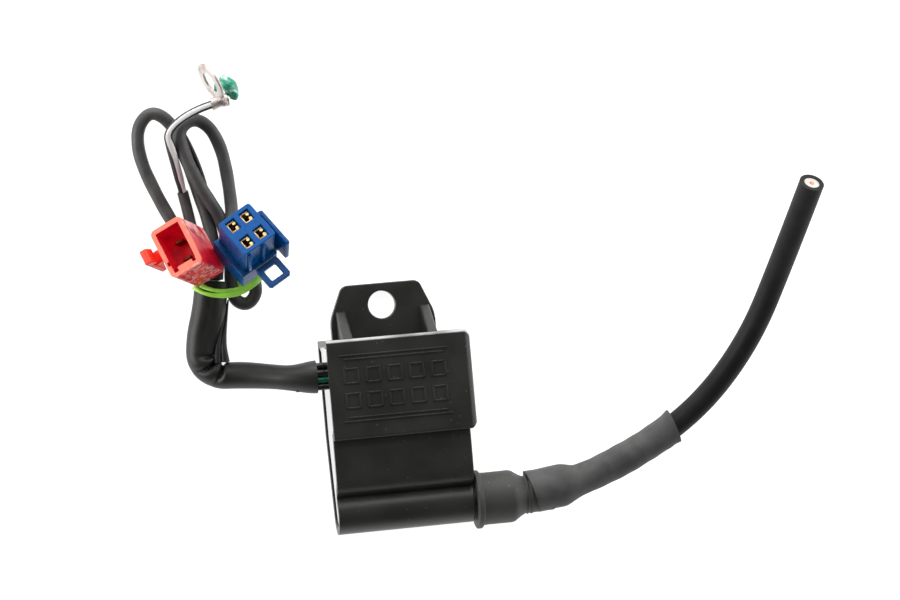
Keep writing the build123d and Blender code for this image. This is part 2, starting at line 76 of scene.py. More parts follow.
blue_route = [(-0.0472, 0.0112, 0.0078), (-0.0466, 0.0160, 0.0074), (-0.0434, 0.0220, 0.0064),
              (-0.0410, 0.0286, 0.0040), (-0.0409, 0.0350, 0.0028), (-0.0412, 0.0414, 0.0024),
              (-0.0422, 0.0482, 0.0027), (-0.0450, 0.0548, 0.0042), (-0.0494, 0.0576, 0.0060),
              (-0.0538, 0.0550, 0.0070), (-0.0543, 0.0502, 0.0072), (-0.0524, 0.0444, 0.0071),
              (-0.0498, 0.0384, 0.0070), (-0.0470, 0.0334, 0.0062), (-0.0443, 0.0288, 0.0036),
              (-0.0428, 0.0224, 0.0019), (-0.0424, 0.0160, 0.0030), (-0.0430, 0.0100, 0.0041),
              (-0.0426, 0.0050, 0.0039), (-0.0389, 0.0030, 0.0036), (-0.0360, 0.0060, 0.0046),
              (-0.0363, 0.0104, 0.0052), (-0.0373, 0.0144, 0.0058)]
ground_route = [(-0.0509, 0.0116, 0.0056), (-0.0514, 0.0170, 0.0036), (-0.0522, 0.0236, 0.0018),
                (-0.0532, 0.0306, 0.0019), (-0.0543, 0.0367, 0.0026), (-0.0553, 0.0418, 0.0048),
                (-0.0570, 0.0494, 0.0092), (-0.0579, 0.0540, 0.0113), (-0.0502, 0.0591, 0.0122),
                (-0.0448, 0.0604, 0.0122)]
lead_route = [(0.0180, -0.0582, 0.0105), (0.0440, -0.0582, 0.0105), (0.0670, -0.0506, 0.0105),
              (0.0884, -0.0384, 0.0120), (0.1034, -0.0198, 0.0196), (0.1118, 0.0022, 0.0315),
              (0.1164, 0.0230, 0.0515)]
# The tie goes round the bundle twice, its two strands side by side in front.
tie_route = [(-0.0518, 0.0096, 0.0100), (-0.0499, 0.0083, 0.0124), (-0.0454, 0.0073, 0.0136),
             (-0.0400, 0.0078, 0.0138), (-0.0354, 0.0106, 0.0126), (-0.0336, 0.0124, 0.0092),
             (-0.0350, 0.0106, 0.0040), (-0.0420, 0.0096, 0.0013), (-0.0495, 0.0096, 0.0013),
             (-0.0536, 0.0096, 0.0046), (-0.0534, 0.0089, 0.0096), (-0.0512, 0.0072, 0.0122),
             (-0.0464, 0.0061, 0.0134), (-0.0410, 0.0066, 0.0134), (-0.0362, 0.0094, 0.0124),
             (-0.0340, 0.0111, 0.0090), (-0.0356, 0.0092, 0.0038), (-0.0424, 0.0080, 0.0013),
             (-0.0495, 0.0082, 0.0014), (-0.0532, 0.0089, 0.0060)]
# The sleeve's split edge stands off its riser and closes under the tie.
flap_route = [(-0.0478, -0.0124, 0.0060), (-0.0478, -0.0089, 0.0064), (-0.0472, -0.0056, 0.0062),
              (-0.0462, -0.0019, 0.0058), (-0.0453, 0.0011, 0.0056), (-0.0443, 0.0051, 0.0058)]
# A spare conductor folded back behind the right-hand loop.
back_wire_route = [(-0.0532, 0.0543, 0.0036), (-0.0522, 0.0524, 0.0017), (-0.0509, 0.0494, 0.0012),
                   (-0.0494, 0.0450, 0.0011), (-0.0481, 0.0400, 0.0011), (-0.0475, 0.0356, 0.0011),
                   (-0.0473, 0.0302, 0.0011)]
tail_route = [(-0.0384, 0.0613, 0.0122), (-0.0378, 0.0629, 0.0124), (-0.0394, 0.0653, 0.0128),
              (-0.0413, 0.0682, 0.0130)]


# ---------------------------------------------------------------- frames of the tilted parts
def local_frame(origin, x_dir, z_dir):
    """A frame in millimetres with the given Z, and X as near to x_dir as that allows."""
    z = Vector(z_dir).normalized()
    x = Vector(x_dir)
    x = (x - z * x.dot(z)).normalized()
    return Matrix.Translation(origin) @ Matrix((x, z.cross(x), z)).transposed().to_4x4()


RED = local_frame((-51.9, 17.9, 10.8), (0.338, -0.893, 0.297), (-0.397, 0.151, 0.905))
BLUE = local_frame((-38.6, 17.0, 12.6), (0.533, -0.773, 0.344), (-0.034, 0.387, 0.922))


# ---------------------------------------------------------------- finishes
class Value:
    """A socket in a material's nodes; arithmetic on it adds Math nodes."""

    def __init__(self, paint, socket):
        self.paint = paint
        self.socket = socket

    def maths(self, operation, *terms, clamp=False):
        settings = {"operation": operation, "use_clamp": clamp}
        return self.paint.add("Math", settings, dict(enumerate(terms)))

    def __add__(self, other):
        return self.maths("ADD", self, other)

    def __sub__(self, other):
        return self.maths("SUBTRACT", self, other)

    def __rsub__(self, other):
        return self.maths("SUBTRACT", other, self)

    def __mul__(self, other):
        return self.maths("MULTIPLY", self, other)

    def __truediv__(self, other):
        return self.maths("DIVIDE", self, other)

    __radd__ = __add__
    __rmul__ = __mul__

    def sine(self):
        return self.maths("SINE", self)

    def step(self, low, high):
        """Runs smoothly from 0 at low to 1 at high."""
        settings = {"interpolation_type": "SMOOTHSTEP"}
        ends = {"Value": self, "From Min": low, "From Max": high}
        return self.paint.add("MapRange", settings, ends)

    def part(self, axis):
        return self.paint.add("SeparateXYZ", {}, {"Vector": self}, axis)


class Paint:
    """One finish: constants on the shader, and nodes for what varies over the surface."""

    def __init__(self, name, colour, roughness, **constants):
        self.material = bpy.data.materials.new(name)
        self.material.use_nodes = True
        self.tree = self.material.node_tree
        self.shader = self.tree.nodes["Principled BSDF"]
        self.colour = colour
        self.set("Base Color", colour)
        self.set("Roughness", roughness)
        for name, value in constants.items():
            self.set(name.replace("_", " ").title().replace("Ior", "IOR"), value)

    def put(self, socket, value):
        if isinstance(value, Value):
            self.tree.links.new(value.socket, socket)
        elif socket.type == "RGBA" and len(value) == 3:
            socket.default_value = (*value, 1)
        else:
            socket.default_value = value

    def set(self, socket, value):
        self.put(self.shader.inputs[socket], value)

    def add(self, kind, settings=None, values=None, out=0):
        """Adds a node of any type, with its settings first and then its sockets' values or links."""
        node = self.tree.nodes.new("ShaderNode" + kind)
        for key, value in (settings or {}).items():
            setattr(node, key, value)
        for key, value in (values or {}).items():
            self.put(node.inputs[key], value)
        return Value(self, node.outputs[out])

    def place(self, attribute=None, stretch=(1, 1, 1)):
        """Where the surface is: its own coordinates, or an attribute that runs along a cord."""
        if attribute:
            at = self.add("Attribute", {"attribute_name": attribute}, out="Vector")
        else:
            at = self.add("TexCoord", out="Object")
        return self.add("Mapping", {}, {"Vector": at, "Scale": stretch})

    def noise(self, at, scale, detail=2.0, roughness=0.5):
        values = {"Vector": at, "Scale": scale, "Detail": detail, "Roughness": roughness}
        return self.add("TexNoise", {}, values)

    def specks(self, at, scale, size):
        """Small separate dots, 1 inside each."""
        distance = self.add("TexVoronoi", {}, {"Vector": at, "Scale": scale}, "Distance")
        return 1 - distance.step(size * 0.6, size)

    def distance(self, at, place, axis):
        """How far along one axis of a frame, given in millimetres, the surface lies from its origin."""
        direction = place.to_3x3().col[axis]
        start = direction.dot(place.translation) * MM
        run = self.add("VectorMath", {"operation": "DOT_PRODUCT"}, {0: at, 1: tuple(direction)}, "Value")
        return run - start

    def mix(self, first, second, share):
        node = self.tree.nodes.new("ShaderNodeMix")
        node.data_type = "RGBA"
        self.put(node.inputs[0], share)
        self.put(node.inputs[6], first)
        self.put(node.inputs[7], second)
        return Value(self, node.outputs[2])

    def bump(self, height, distance, strength=1.0):
        values = {"Height": height, "Distance": distance, "Strength": strength}
        self.set("Normal", self.add("Bump", {}, values))


def shade(colour, factor):
    return tuple(min(1.0, c * factor) for c in colour)


def moulded(name, colour, roughness, grain=0.00004, attribute=None, dust=0.0, painted_edge_highlight=False, **constants):
    """Moulded plastic or rubber: fine skin texture, slow changes of tone and gloss, a little dust, and on
    request a painted highlight: a pale grey line where the rim attribute is set.
    """
    paint = Paint(name, colour, roughness, **constants)
    at = paint.place(attribute)
    skin = paint.noise(at, 2600, 3.0)
    slow = paint.noise(at, 90, 2.0)
    paint.set("Roughness", slow * 0.16 + (roughness - 0.08))
    tone = paint.mix(shade(colour, 0.82), shade(colour, 1.2), slow.step(0.3, 0.7))
    if dust:
        spots = paint.specks(at, 420, 0.11) * dust
        tone = paint.mix(tone, (0.42, 0.42, 0.40), spots)
    if painted_edge_highlight:
        # Painted highlight: pale grey along the marked edge, broken up by the slow noise.
        edge = paint.add("Attribute", {"attribute_name": "rim"}, out="Fac")
        tone = paint.mix(tone, (0.55, 0.55, 0.54), edge * slow.step(0.25, 0.6))
    paint.set("Base Color", tone)
    paint.bump(skin, grain, 0.6)
    return paint


def drawn(name, colour, roughness, attribute="cord", ribs=0.00003, **constants):
    """Extruded cover: faint lines along its length, soft dents, and a gloss that varies."""
    paint = Paint(name, colour, roughness, **constants)
    at = paint.place(attribute, (1, 1, 0.05))
    along = paint.noise(at, 1500, 2.0)
    dents = paint.noise(paint.place(attribute), 160, 2.0)
    paint.set("Roughness", along * 0.2 + (roughness - 0.1))
    paint.set("Base Color", paint.mix(shade(colour, 0.8), shade(colour, 1.35), dents.step(0.3, 0.7)))
    paint.bump(along * 0.35 + dents, ribs * 4, 0.5)
    return paint


def metal(name, colour, roughness, stain, scale=700):
    """Stamped sheet metal with stains and fine rolling lines."""
    paint = Paint(name, colour, roughness, metallic=1.0)
    at = paint.place()
    marks = paint.noise(at, scale, 3.0, 0.5)
    lines = paint.noise(paint.place(stretch=(1, 14, 1)), 900, 2.0)
    paint.set("Base Color", paint.mix(colour, stain, marks.step(0.45, 0.75)))
    paint.set("Roughness", marks * 0.35 + (roughness - 0.12))
    paint.bump(lines, 0.00003, 0.5)
    return paint


case_paint = moulded("case_moulding", (0.0200, 0.0200, 0.0180), 0.38, 0.00006, dust=0.12, painted_edge_highlight=True)
rubber_paint = moulded("boot_rubber", (0.045, 0.045, 0.042), 0.58, 0.00005, dust=0.2)
shrink_paint = drawn("shrink_sleeving", (0.062, 0.062, 0.061), 0.66, ribs=0.00002)
jacket_paint = drawn("lead_jacket", (0.009, 0.009, 0.0086), 0.55, ribs=0.00001, specular_ior_level=0.22)
sleeve_paint = drawn("vinyl_sleeve", (0.0125, 0.0125, 0.0115), 0.46, ribs=0.00003)
branch_paint = drawn("branch_sleeve", (0.050, 0.050, 0.049), 0.5, ribs=0.00002)
white_paint = moulded("lead_insulation", (0.78, 0.70, 0.66), 0.45, 0.00002)
# The tie glows a little in its own green: painted light.
tie_paint = drawn("tie_vinyl", (0.24, 0.54, 0.05), 0.42, ribs=0.00003, emission_strength=0.2,
                  emission_color=(0.24, 0.54, 0.05, 1))
black_wire_paint = drawn("wire_black", (0.016, 0.016, 0.016), 0.3, attribute=None)
green_wire_paint = drawn("wire_green", (0.006, 0.22, 0.13), 0.28, attribute=None)
brown_wire_paint = drawn("wire_brown", (0.16, 0.055, 0.02), 0.34, attribute=None)
brass_paint = metal("brass", (0.70, 0.48, 0.22), 0.3, (0.30, 0.17, 0.07))
# Darker brass for the blades that sit deep in the red shroud.
dark_blade_brass_paint = metal("dark_blade_brass", (0.22, 0.09, 0.04), 0.30, (0.05, 0.015, 0.008))
tin_paint = metal("tinned_steel", (0.66, 0.61, 0.58), 0.36, (0.42, 0.31, 0.27), 260)
copper_paint = metal("copper", (0.75, 0.34, 0.18), 0.32, (0.35, 0.13, 0.07))


def resin_finish():
    """Poured epoxy: mirror gloss over a slowly waving surface."""
    paint = Paint("poured_resin", (0.014, 0.014, 0.015), 0.04, coat_weight=1.0, coat_roughness=0.02)
    at = paint.place()
    paint.set("Roughness", paint.noise(at, 200, 2.0) * 0.04 + 0.02)
    cloud = paint.noise(at, 350, 3.0)
    paint.set("Base Color", paint.mix((0.010, 0.010, 0.011), (0.022, 0.021, 0.020), cloud))
    paint.bump(paint.noise(at, 55, 1.0), 0.00002, 0.1)
    return paint


def nylon(name, deep, pale, roughness, glow, painted_sheen_frame=None, **constants):
    """Clear-coloured nylon with painted light: it glows a little in its own tone, and is painted paler
    towards its mating rim.
    The last argument gives the frame of a housing whose two outer sides get a painted white sheen."""
    paint = Paint(name, deep, roughness, emission_strength=glow, **constants)
    rim = paint.add("Attribute", {"attribute_name": "rim"}, out="Fac")
    at = paint.place()
    cloud = paint.noise(at, 260, 3.0)
    streak = paint.noise(paint.place(stretch=(1, 0.25, 1)), 900, 2.0)
    body = paint.mix(shade(deep, 0.75), shade(deep, 1.25), cloud.step(0.3, 0.7))
    # Painted light: towards the marked mating rim the tone is mixed over to the pale colour.
    tone = paint.mix(body, pale, rim * (0.75 + cloud * 0.35))
    if painted_sheen_frame:
        # Painted sheen: pale streaks on the +y side towards the -x end, and on the +x end, stand in for
        # light reflected there.
        along, across = [paint.distance(at, painted_sheen_frame, axis) for axis in (0, 1)]
        side = across.step(0.0044, 0.0049) * (1 - along.step(-0.0055, 0.0005)) * cloud.step(0.38, 0.55)
        end = along.step(0.0069, 0.0073) * streak.step(0.50, 0.60)
        tone = paint.mix(tone, (0.72, 0.52, 0.50), side * 0.65 + end * 0.45)
    paint.set("Base Color", tone)
    # Painted glow: the nylon gives off light in its own tone, with the paler rim and sheen included.
    paint.set("Emission Color", tone)
    paint.set("Roughness", streak * 0.2 + (roughness - 0.1))
    paint.bump(streak + cloud, 0.00006, 0.5)
    return paint


def striped_wire():
    """Black wire cover with a broad white tracer along it."""
    paint = drawn("wire_striped", (0.012, 0.012, 0.012), 0.3)
    across = paint.add("Attribute", {"attribute_name": "cord"}, out="Vector").part(0)
    wander = paint.noise(paint.place("cord", (0.2, 0.2, 1)), 160, 1.0) * 0.0001
    stripe = (across + wander).step(0.00099, 0.00105)
    paint.set("Base Color", paint.mix((0.012, 0.012, 0.012), (0.86, 0.86, 0.84), stripe))
    return paint


def laminations():
    paint = metal("lamination_steel", (0.45, 0.44, 0.43), 0.4, (0.24, 0.20, 0.17))
    sheets = (paint.place().part(2) * 12000).sine()
    paint.bump(sheets, 0.00006, 0.8)
    return paint


def wound(name, colour, pitch):
    """Enamelled wire laid in close turns along X."""
    paint = Paint(name, colour, 0.28, metallic=0.85, coat_weight=0.5)
    at = paint.place()
    turns = (at.part(0) * (2 * pi / pitch) + paint.noise(at, 300, 1.0) * 2).sine()
    # Painted shade: the colour falls to half in the grooves between turns.
    paint.set("Base Color", paint.mix(shade(colour, 0.5), colour, turns * 0.5 + 0.5))
    paint.bump(turns, pitch / 4, 0.8)
    return paint


def printed_board():
    """Green board with copper tracks under the mask."""
    paint = Paint("board_mask", (0.01, 0.11, 0.045), 0.35, coat_weight=0.4)
    at = paint.place()
    lanes = (at.part(0) * 2100 + paint.noise(at, 130, 0.0) * 9).sine()
    tracks = lanes.step(0.55, 0.75)
    paint.set("Base Color", paint.mix((0.008, 0.075, 0.035), (0.03, 0.19, 0.07), tracks))
    paint.bump(tracks, 0.00005, 0.7)
    return paint


def banded(name, body, bands, pitch):
    """Small component with colour bands along X."""
    paint = Paint(name, body, 0.35)
    at = paint.place()
    rings = (at.part(0) * (2 * pi / pitch)).sine().step(0.7, 0.85)
    paint.set("Base Color", paint.mix(body, bands, rings))
    paint.bump(paint.noise(at, 1500, 2.0), 0.00004, 0.4)
    return paint


resin_paint = resin_finish()
red_paint = nylon("red_nylon", (0.50, 0.002, 0.012), (0.86, 0.20, 0.13), 0.40, 0.30, RED)
latch_paint = nylon("red_latch_nylon", (0.66, 0.018, 0.010), (0.74, 0.05, 0.02), 0.38, 0.25)
blue_paint = nylon("blue_nylon", (0, 0.060, 0.22), (0, 0.085, 0.32), 0.30, 0.06,
                   specular_ior_level=0.2)
wire_tracer_paint = striped_wire()


def crushed_cover():
    """Green cover, cloudy white where it was crushed."""
    paint = Paint("crushed_green_cover", (0.01, 0.33, 0.20), 0.25, coat_weight=0.4)
    at = paint.place()
    cloud = paint.noise(at, 420, 2.0)
    paint.set("Base Color", paint.mix((0.006, 0.30, 0.18), (0.55, 0.78, 0.68), cloud.step(0.52, 0.68)))
    paint.bump(cloud, 0.0004, 0.5)
    return paint


tail_paint = crushed_cover()
inner_finishes = {
    "circuit_board": printed_board(),
    "storage_capacitor": moulded("film_capacitor", (0.28, 0.07, 0.03), 0.3),
    "trigger_capacitor": moulded("disc_capacitor", (0.30, 0.12, 0.03), 0.4),
    "thyristor": moulded("thyristor_body", (0.02, 0.02, 0.021), 0.5),
    "rectifier_diodes": banded("diode_body", (0.02, 0.02, 0.021), (0.5, 0.5, 0.5), 0.0052),
    "resistors": banded("resistor_body", (0.42, 0.30, 0.17), (0.12, 0.02, 0.01), 0.0016),
    "iron_core": laminations(),
    "primary_bobbin": moulded("bobbin_plastic", (0.50, 0.46, 0.38), 0.5),
    "secondary_bobbin": moulded("section_bobbin_plastic", (0.52, 0.48, 0.40), 0.5),
    "primary_winding": wound("primary_wire", (0.62, 0.24, 0.09), 0.0005),
    "secondary_winding": wound("secondary_wire", (0.70, 0.30, 0.12), 0.00012),
    "ht_contact": brass_paint,
    "red_leads": brown_wire_paint,
    "blue_leads": black_wire_paint,
}
inner_finishes["potting_resin"] = resin_paint
for node_name, paint in inner_finishes.items():
    nodes[node_name].data.materials.clear()
    nodes[node_name].data.materials.append(paint.material)


# ---------------------------------------------------------------- making pieces
def each_once(items):
    """Every item once, in the order given."""
    return list(dict.fromkeys(items))


def arrange(sequence, place):
    """Puts a mesh's points, edges or faces in order of a place worked out for each."""
    rank = {item: i for i, item in enumerate(sorted(sequence, key=place))}
    sequence.sort(key=lambda item: rank[item])
    sequence.index_update()


def in_fixed_order(bm):
    """Orders points, edges and faces by where they lie, and starts each face at its first point,
    because the operators leave them in an order that changes from run to run."""
    arrange(bm.verts, lambda v: tuple(round(c, 7) for c in v.co))
    for face in bm.faces[:]:
        verts = face.verts[:]
        lead = min(range(len(verts)), key=lambda i: verts[i].index)
        if lead:
            bm.faces.remove(face)
            bm.faces.new(verts[lead:] + verts[:lead])
    arrange(bm.edges, lambda e: sorted(v.index for v in e.verts))
    arrange(bm.faces, lambda f: [v.index for v in f.verts])


def into_scene(name, data):
    thing = bpy.data.objects.new(name, data)
    bpy.context.scene.collection.objects.link(thing)
    return thing


def finish_piece(bm, name, paint, body="root", stands_for=(), at=None, unit=MM, sharp=32):
    """Turns a bmesh into a finished piece, in metres, riding on its body."""
    bmesh.ops.remove_doubles(bm, verts=bm.verts, dist=1e-5 if unit == MM else 1e-8)
    bmesh.ops.recalc_face_normals(bm, faces=bm.faces)
    in_fixed_order(bm)
    mesh = bpy.data.meshes.new(name)
    bm.to_mesh(mesh)
    bm.free()
    mesh.transform(Matrix.Scale(unit, 4) @ (at or Matrix.Identity(4)))
    mesh.shade_smooth()
    mesh.set_sharp_from_angle(angle=radians(sharp))
    mesh.materials.append(paint.material)
    thing = into_scene(name, mesh)
    even = thing.modifiers.new("even_normals", "WEIGHTED_NORMAL")
    even.keep_sharp = True
    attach(thing, body)
    if stands_for:
        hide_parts(*stands_for)
    return thing


def finish_cord(bm, name, paint, stands_for=()):
    """A piece laid along a route: already in metres, and smooth round its section."""
    return finish_piece(bm, name, paint, stands_for=stands_for, unit=1, sharp=60)


def edges_between(verts):
    chosen = set(verts)
    return [e for v in verts for e in v.link_edges
            if e.other_vert(v) in chosen and v.index <= e.other_vert(v).index]


def soften(bm, edges, width, segments=3):
    edges = [e for e in each_once(edges) if e.is_valid]
    return bmesh.ops.bevel(bm, geom=edges, offset=width, offset_type="OFFSET", segments=segments,
                           profile=0.5, affect="EDGES", material=-1, clamp_overlap=True)


def block(bm, low, high, round_by=0.0, segments=3):
    """A block between two corners, with all its edges rounded."""
    low, high = Vector(low), Vector(high)
    place = Matrix.Translation((low + high) / 2) @ Matrix.Diagonal((*(high - low), 1))
    verts = bmesh.ops.create_cube(bm, size=1, matrix=place)["verts"]
    if round_by:
        soften(bm, [e for v in verts for e in v.link_edges], round_by, segments)
    return verts


def sheet_face(bm, points):
    """One flat face through a few corners."""
    verts = [bm.verts.new(p) for p in points]
    return bm.faces.new(verts)


def push(bm, faces, vector):
    """Extrudes faces by a vector and gives back the moved faces."""
    faces = list(faces)
    edges = each_once(e for f in faces for e in f.edges)
    made = bmesh.ops.extrude_face_region(bm, geom=faces + edges)["geom"]
    verts = [g for g in made if isinstance(g, bmesh.types.BMVert)]
    bmesh.ops.translate(bm, vec=vector, verts=verts)
    return [g for g in made if isinstance(g, bmesh.types.BMFace)]


def cylinder(bm, radius, start, end, at=None, sides=40, far_radius=None):
    """A round bar along Z from start to end."""
    place = (at or Matrix.Identity(4)) @ Matrix.Translation((0, 0, (start + end) / 2))
    return bmesh.ops.create_cone(bm, cap_ends=True, cap_tris=False, segments=sides, radius1=radius,
                                 radius2=far_radius or radius, depth=end - start, matrix=place)["verts"]


def cut_across(bm, point, normal):
    """Scores every face along a plane, so that edges lie on it."""
    bmesh.ops.bisect_plane(bm, geom=[*bm.verts, *bm.edges, *bm.faces], dist=1e-4, plane_co=point,
                           plane_no=normal)


def turned_bar(bm, outline, centre, axis, steps):
    """Spins an outline right round an axis, closes its ends, and gives back its points."""
    before = set(bm.verts)
    verts = [bm.verts.new(p) for p in outline]
    edges = [bm.edges.new(pair) for pair in zip(verts, verts[1:])]
    bmesh.ops.spin(bm, geom=verts + edges, cent=centre, axis=axis, angle=2 * pi, steps=steps, use_merge=True)
    bmesh.ops.holes_fill(bm, edges=[e for e in bm.edges if e.is_boundary], sides=0)
    return [v for v in bm.verts if v not in before]


def pocket(bm, low, high, top, depth):
    """Sinks a straight-sided hole into a flat top face, between two corners in X and Y."""
    for axis, place in ((0, low[0]), (0, high[0]), (1, low[1]), (1, high[1])):
        normal = [0, 0, 0]
        normal[axis] = 1
        point = [0, 0, 0]
        point[axis] = place
        cut_across(bm, point, normal)
    bm.normal_update()
    floor = [f for f in bm.faces if abs(f.calc_center_median().z - top) < 1e-3 and abs(f.normal.z) > 0.9
             and low[0] < f.calc_center_median().x < high[0] and low[1] < f.calc_center_median().y < high[1]]
    push(bm, floor, (0, 0, -depth))


def path_of(name, points, steps=14):
    """Points along a route's smooth line, read from its spline."""
    curve = bpy.data.curves.new(name, "CURVE")
    curve.dimensions = "3D"
    curve.resolution_u = steps
    spline = curve.splines.new("NURBS")
    spline.points.add(len(points) - 1)
    for control, place in zip(spline.points, points):
        control.co = (*place, 1)
    spline.order_u = 3
    spline.use_endpoint_u = True
    holder = into_scene(name, curve)
    bpy.context.view_layer.update()
    mesh = bpy.data.meshes.new_from_object(holder)
    line = [v.co.copy() for v in mesh.vertices]
    bpy.data.objects.remove(holder)
    bpy.data.meshes.remove(mesh)
    bpy.data.curves.remove(curve)
    return [p for i, p in enumerate(line) if i == 0 or (p - line[i - 1]).length > 1e-7]


def frames_along(line):
    """Place, direction, side and distance at each point of a line, without twist."""
    frames = []
    travelled = 0.0
    last = None
    across = Vector((0, 0, 1))
    for i, point in enumerate(line):
        ahead = line[min(i + 1, len(line) - 1)]
        behind = line[max(i - 1, 0)]
        heading = (ahead - behind).normalized()
        if last is not None:
            across.rotate(last.rotation_difference(heading))
            travelled += (point - line[i - 1]).length
        across = (across - heading * across.dot(heading)).normalized()
        frames.append((point, heading, across.copy(), travelled))
        last = heading
    return frames


SLANT_REACH = 0.006


def tube(line, radius, sides=28, wall=0.0005, mouths=(0.0, 0.0), slant=(0.0, 0.0), twist=None):
    """A round cover along a line. radius is a number or a function of distance, angle and length.
    mouths gives how deep each end is open, and slant how far each end is cut askew."""
    bm = bmesh.new()
    layer = bm.verts.layers.float_vector.new("cord")
    frames = frames_along(line)
    length = frames[-1][3]
    rings = [(f, 0.0) for f in frames]

    def inner(end, depth):
        near = [f for f in frames if abs(f[3] - (0 if end == 0 else length)) <= depth]
        return near if end == 0 else near[::-1]

    if mouths[0]:
        rings = [(f, wall) for f in inner(0, mouths[0])[::-1]] + rings
    if mouths[1]:
        rings = rings + [(f, wall) for f in inner(1, mouths[1])]
    circle = bmesh.ops.create_circle(bm, segments=sides, radius=1)["verts"]
    angles = [atan2(v.co.y, v.co.x) for v in circle]

    def lay(ring, frame, thinner):
        point, heading, across, travelled = frame
        up = heading.cross(across)
        for v, angle in zip(ring, angles):
            r = radius(travelled, angle, length) if callable(radius) else radius
            r -= thinner
            lean = slant[0] * max(0, 1 - travelled / SLANT_REACH)
            lean += slant[1] * max(0, 1 - (length - travelled) / SLANT_REACH)
            turned = angle + (twist(travelled) if twist else 0)
            v.co = point + (across * cos(turned) + up * sin(turned)) * r + heading * (lean * sin(turned))
            v[layer] = (r * cos(angle), r * sin(angle), travelled)

    lay(circle, *rings[0])
    edges = each_once(e for v in circle for e in v.link_edges)
    ring = circle
    ends = [ring]
    for frame, thinner in rings[1:]:
        made = bmesh.ops.extrude_edge_only(bm, edges=edges)["geom"]
        fresh = {g for g in made if isinstance(g, bmesh.types.BMVert)}
        ring = [next(e.other_vert(v) for e in v.link_edges if e.other_vert(v) in fresh) for v in ring]
        edges = [g for g in made if isinstance(g, bmesh.types.BMEdge) and set(g.verts) <= fresh]
        lay(ring, frame, thinner)
    ends.append(ring)
    for end in ends:
        bm.faces.new(end)
    return bm


def portion(line, start, end):
    """The part of a line between two distances along it."""
    kept = []
    travelled = 0.0
    for a, b in zip(line, line[1:]):
        step = (b - a).length
        for place in (start, end):
            if travelled <= place < travelled + step:
                kept.append(a + (b - a) * ((place - travelled) / step))
        travelled += step
        if start < travelled < end:
            kept.append(b.copy())
    return kept


def length_of(line):
    return sum((b - a).length for a, b in zip(line, line[1:]))


def ease(x, low, high):
    x = min(1.0, max(0.0, (x - low) / (high - low)))
    return x * x * (3 - 2 * x)


# ---------------------------------------------------------------- case
CASE_LEFT, LOWER_RIGHT, BOX_RIGHT = -19.3, 20.0, 21.9
BOX_TOP, BOX_BOTTOM, BOX_DEPTH = -9.0, -37.3, 22.0
TOWER = (-58.2, 10.5)
TOWER_R = 6.2
WALL = 1.8


def arc(centre, radius, start, end, count):
    """Points round part of a circle, in degrees from Y towards Z."""
    turns = [radians(start + (end - start) * i / (count - 1)) for i in range(count)]
    return [(centre[0] + radius * cos(t), centre[1] + radius * sin(t)) for t in turns]


def outer_outline():
    """Side outline of the case: the box, the coil chamber, and the tower rising from its crease."""
    chamber = [(-37.3, 19.2), (-43.0, 19.2), (-48.0, 19.0), (-50.4, 18.5), (-51.9, 17.5), (-52.9, 16.0)]
    tower = arc(TOWER, TOWER_R, 43, 262, 26)
    return [(-9.0, 0.0), (-9.0, 22.0), (-37.3, 22.0), *chamber, *tower, (-37.3, 0.0)]


def inner_outline():
    chamber = [(-35.5, 17.4), (-43.0, 17.4), (-49.3, 16.8), (-51.6, 14.6)]
    return [(-10.8, 1.8), (-10.8, 20.2), (-35.5, 20.2), *chamber, *arc(TOWER, TOWER_R - WALL, 48, 262, 18),
            (-37.2, 1.8)]


def side_face(bm, outline, x):
    return sheet_face(bm, [(x, y, z) for y, z in outline])


def front_edge(bm, level):
    """The box's long and rounded front edges near one height up the case."""
    bm.normal_update()
    return [e for e in bm.edges if all(abs(v.co.y - level) < 2.7 and v.co.z > 19.3 for v in e.verts)
            and abs(e.verts[0].co.x - e.verts[1].co.x) > 1e-3 and e.calc_face_angle(0) > 0.6]


